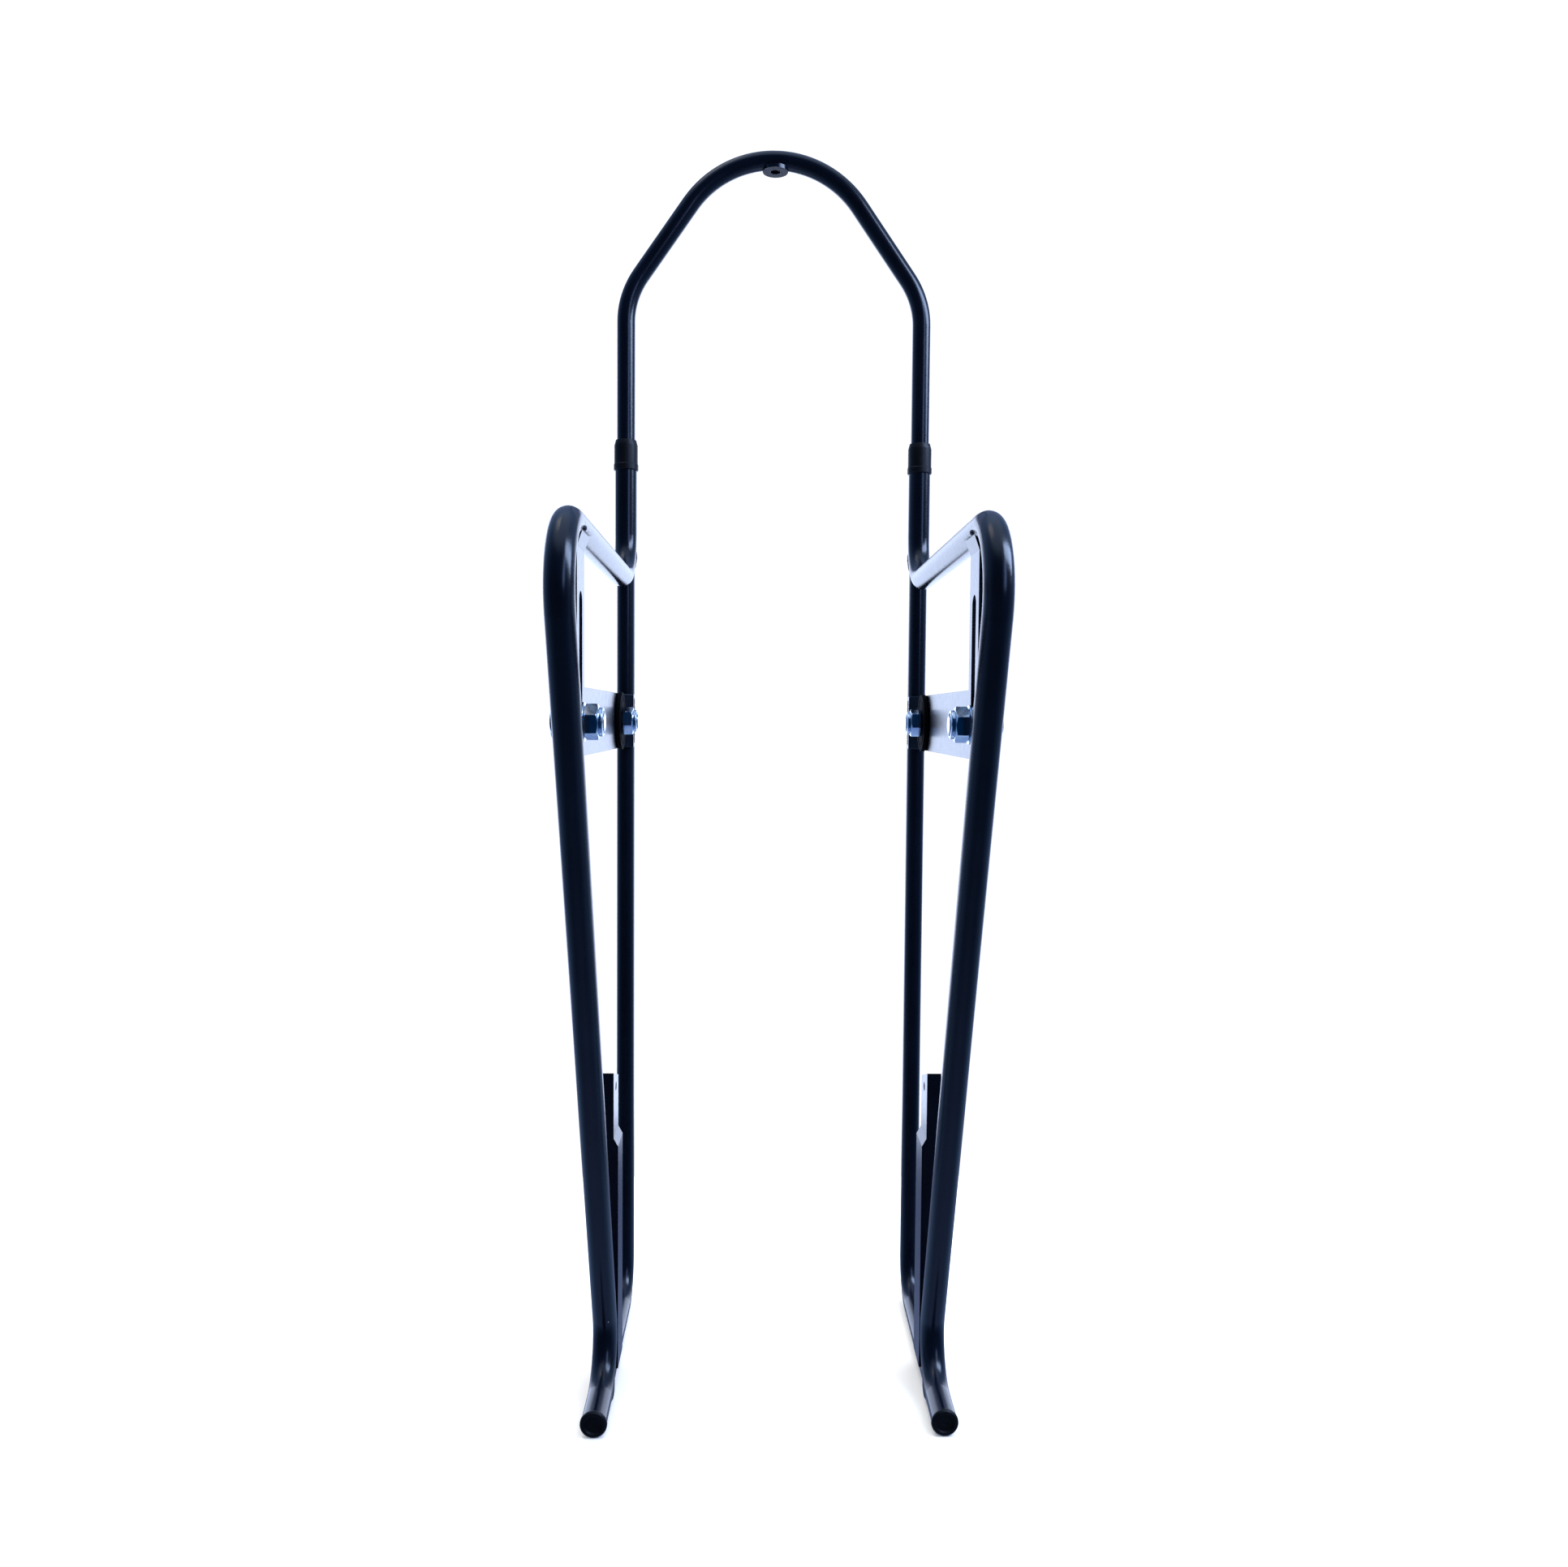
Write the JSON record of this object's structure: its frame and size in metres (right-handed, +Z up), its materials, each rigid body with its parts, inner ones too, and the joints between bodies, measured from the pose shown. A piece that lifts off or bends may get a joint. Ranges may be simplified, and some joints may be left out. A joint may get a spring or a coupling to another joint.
{
  "type": "bicycle wall rack",
  "caption": "Wheel-straddling bicycle rack with two bent-tube side frames, a plug-in hoop with a screw boss, slotted straps and swinging link plates.",
  "frame": {"origin": "on the floor under the middle of the rack's width and depth", "axes": "+Z up, -Y to the front where the capped feet point, +X to the right of someone facing the front's back plane, the rack's side frames lie in Y-Z planes"},
  "size_m": [0.1874, 0.245, 0.6469],
  "materials": {
    "coat": "satin black powder coat with a fine orange-peel surface",
    "zinc": "bright zinc plate",
    "rubber": "matt black rubber",
    "plastic": "fine moulded texture",
    "nylon": "translucent white nylon"
  },
  "bodies": {
    "frame": {"left_side_tube": "coat", "right_side_tube": "coat", "left_end_cap": "plastic", "right_end_cap": "plastic", "left_rear_rod": "coat", "right_rear_rod": "coat", "left_slot_strap": "coat", "right_slot_strap": "coat", "left_lower_strap": "coat", "right_lower_strap": "coat", "left_pivot_bracket": "coat", "right_pivot_bracket": "coat", "left_collar": "plastic", "right_collar": "plastic", "left_set_screw": "coat", "right_set_screw": "coat", "left_friction_disc": "rubber", "right_friction_disc": "rubber", "left_pivot_bolt": "zinc", "right_pivot_bolt": "zinc", "left_pivot_nut": "zinc", "right_pivot_nut": "zinc", "left_pivot_nut_ring": "nylon", "right_pivot_nut_ring": "nylon"},
    "hoop": {"hoop": "coat"},
    "left_plate": {"left_swing_plate": "coat"},
    "left_slider": {"left_slot_bolt": "zinc", "left_slot_washer": "zinc", "left_slot_nut": "zinc", "left_slot_nut_ring": "nylon"},
    "right_plate": {"right_swing_plate": "coat"},
    "right_slider": {"right_slot_bolt": "zinc", "right_slot_washer": "zinc", "right_slot_nut": "zinc", "right_slot_nut_ring": "nylon"}
  },
  "joints": [
    {"name": "hoop_height", "type": "slide", "parent": "frame", "child": "hoop", "axis": [0, 0, 1], "range_m": [0, 0.03]},
    {"name": "left_plate_swing", "type": "hinge", "parent": "frame", "child": "left_plate", "pos_m": [-0.0837, 0.0796, 0.333], "axis": [-1, 0, 0], "range_deg": [0, 16.6]},
    {"name": "left_slider_rise", "type": "slide", "parent": "frame", "child": "left_slider", "axis": [0, 0, 1], "range_m": [0, 0.048]},
    {"name": "right_plate_swing", "type": "hinge", "parent": "frame", "child": "right_plate", "pos_m": [0.0837, 0.0796, 0.333], "axis": [-1, 0, 0], "range_deg": [0, 16.6]},
    {"name": "right_slider_rise", "type": "slide", "parent": "frame", "child": "right_slider", "axis": [0, 0, 1], "range_m": [0, 0.048]}
  ],
  "couplings": [
    {"joint": "left_slider_rise", "follows": "left_plate_swing", "m_per_rad": 0.1644},
    {"joint": "right_slider_rise", "follows": "right_plate_swing", "m_per_rad": 0.1644}
  ]
}
